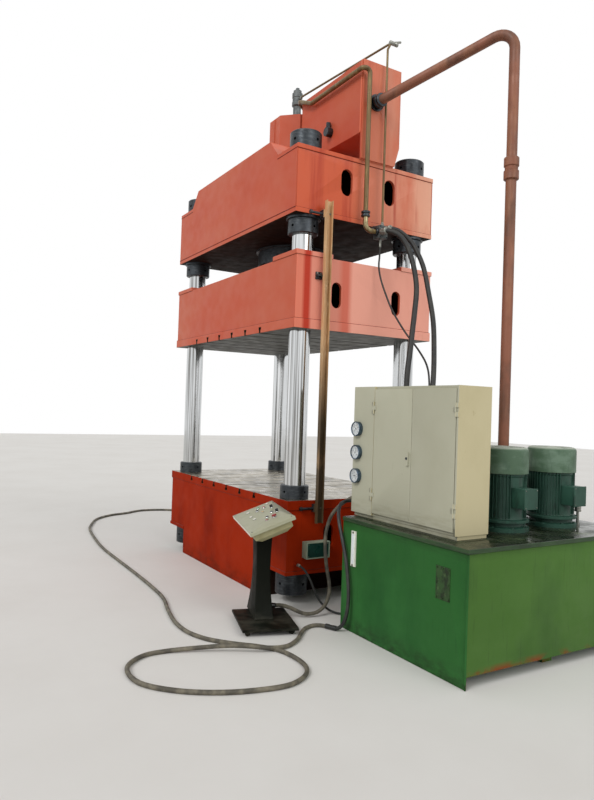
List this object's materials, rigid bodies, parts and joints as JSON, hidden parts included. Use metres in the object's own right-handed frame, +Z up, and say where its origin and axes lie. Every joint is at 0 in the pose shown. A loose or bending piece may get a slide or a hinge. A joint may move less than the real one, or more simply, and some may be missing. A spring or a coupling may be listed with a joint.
{
  "type": "hydraulic press",
  "caption": "Four-column hydraulic press with slotted table, sliding beam, crown with main cylinder, hydraulic power unit and operator's console.",
  "frame": {"origin": "centre of the press's footprint on the floor, on the base's underside", "axes": "+Z up along the columns, -Y towards the operator's front where the table's slots end, +X towards the power unit"},
  "size_m": [7.2246, 3.4724, 5.12],
  "materials": {
    "crown_paint": "semi-gloss enamel over welded plate",
    "base_paint": "semi-gloss enamel over welded plate",
    "chrome": "hard chromed and polished",
    "dark_steel": "blackened, lightly oiled",
    "pipe_paint": "primed steel pipe",
    "hose_rubber": "matt braided hose cover",
    "cable_sheath": "dusty corrugated conduit",
    "unit_green": "semi-gloss enamel",
    "cabinet_cream": "satin powder coat",
    "motor_green": "semi-gloss enamel on cast iron",
    "console_cream": "satin powder coat",
    "post_charcoal": "satin enamel",
    "button_green": "moulded",
    "button_red": "moulded",
    "button_black": "moulded"
  },
  "bodies": {
    "press": {"base": "base_paint", "column_1": "chrome", "column_2": "chrome", "column_3": "chrome", "column_4": "chrome", "console_base": "post_charcoal", "console_cable": "cable_sheath", "console_housing": "console_cream", "console_lid": "console_cream", "console_post": "post_charcoal", "cowl_back": "motor_green", "cowl_front": "motor_green", "crown": "crown_paint", "crown_nut_lower_1": "dark_steel", "crown_nut_lower_2": "dark_steel", "crown_nut_lower_3": "dark_steel", "crown_nut_lower_4": "dark_steel", "crown_nut_upper_1": "dark_steel", "crown_nut_upper_2": "dark_steel", "crown_nut_upper_3": "dark_steel", "crown_nut_upper_4": "dark_steel", "cylinder_cover": "crown_paint", "drain_hose": "cable_sheath", "ejector_cylinder": "dark_steel", "filler_cap": "dark_steel", "floor_cable": "cable_sheath", "hose_1": "hose_rubber", "hose_2": "hose_rubber", "junction_box": "unit_green", "limit_rail": "pipe_paint", "main_cylinder": "dark_steel", "manifold": "dark_steel", "motor_back": "motor_green", "motor_front": "motor_green", "oil_tank": "crown_paint", "pilot_hose": "cable_sheath", "pilot_pipe": "pipe_paint", "power_tank": "unit_green", "prefill_valve": "dark_steel", "pressure_pipe": "pipe_paint", "return_pipe": "pipe_paint", "supply_cable": "hose_rubber", "tank_lid": "unit_green", "valve_cabinet": "cabinet_cream"},
    "slider": {"slider": "crown_paint", "main_ram": "chrome", "trigger_arm": "dark_steel"},
    "ejector_rod": {"ejector_rod": "chrome"},
    "door_left": {"door_left": "cabinet_cream"},
    "door_right": {"door_right": "cabinet_cream"},
    "rotor_front": {"rotor_front": "dark_steel"},
    "rotor_back": {"rotor_back": "dark_steel"},
    "button_start": {"button_start": "button_green"},
    "button_down": {"button_down": "button_black"},
    "button_up": {"button_up": "button_black"},
    "button_return": {"button_return": "button_black"},
    "button_eject": {"button_eject": "button_black"},
    "selector_mode": {"selector_mode": "button_black"},
    "selector_heat": {"selector_heat": "button_black"},
    "emergency_stop": {"emergency_stop": "button_red"}
  },
  "joints": [
    {"name": "slider_stroke", "type": "slide", "parent": "press", "child": "slider", "axis": [0, 0, 1], "range_m": [-0.9, 0.15]},
    {"name": "ejector_stroke", "type": "slide", "parent": "press", "child": "ejector_rod", "axis": [0, 0, 1], "range_m": [0, 0.25]},
    {"name": "door_left_hinge", "type": "hinge", "parent": "press", "child": "door_left", "pos_m": [2.16, -0.4965, 1.35], "axis": [0, 0, 1], "range_deg": [-110, 0]},
    {"name": "door_right_hinge", "type": "hinge", "parent": "press", "child": "door_right", "pos_m": [3.02, -0.4965, 1.35], "axis": [0, 0, 1], "range_deg": [0, 110]},
    {"name": "rotor_front_spin", "type": "hinge", "parent": "press", "child": "rotor_front", "pos_m": [2.8, 0.2, 1.3], "axis": [0, 0, 1], "continuous": true},
    {"name": "rotor_back_spin", "type": "hinge", "parent": "press", "child": "rotor_back", "pos_m": [2.8, 0.73, 1.3], "axis": [0, 0, 1], "continuous": true},
    {"name": "button_start_press", "type": "slide", "parent": "press", "child": "button_start", "axis": [0.105, 0.3477, -0.9317], "range_m": [0, 0.003], "stiffness_N_per_m": 600, "springref_m": -0.001},
    {"name": "button_down_press", "type": "slide", "parent": "press", "child": "button_down", "axis": [0.105, 0.3477, -0.9317], "range_m": [0, 0.003], "stiffness_N_per_m": 600, "springref_m": -0.001},
    {"name": "button_up_press", "type": "slide", "parent": "press", "child": "button_up", "axis": [0.105, 0.3477, -0.9317], "range_m": [0, 0.003], "stiffness_N_per_m": 600, "springref_m": -0.001},
    {"name": "button_return_press", "type": "slide", "parent": "press", "child": "button_return", "axis": [0.105, 0.3477, -0.9317], "range_m": [0, 0.003], "stiffness_N_per_m": 600, "springref_m": -0.001},
    {"name": "button_eject_press", "type": "slide", "parent": "press", "child": "button_eject", "axis": [0.105, 0.3477, -0.9317], "range_m": [0, 0.003], "stiffness_N_per_m": 600, "springref_m": -0.001},
    {"name": "selector_mode_turn", "type": "hinge", "parent": "press", "child": "selector_mode", "pos_m": [1.39216, -0.92305, 0.85823], "axis": [-0.105, -0.3477, 0.9317], "range_deg": [-45, 45]},
    {"name": "selector_heat_turn", "type": "hinge", "parent": "press", "child": "selector_heat", "pos_m": [1.59701, -0.9849, 0.85823], "axis": [-0.105, -0.3477, 0.9317], "range_deg": [-45, 45]},
    {"name": "emergency_stop_press", "type": "slide", "parent": "press", "child": "emergency_stop", "axis": [0.105, 0.3477, -0.9317], "range_m": [0, 0.005], "stiffness_N_per_m": 800, "springref_m": -0.001}
  ]
}
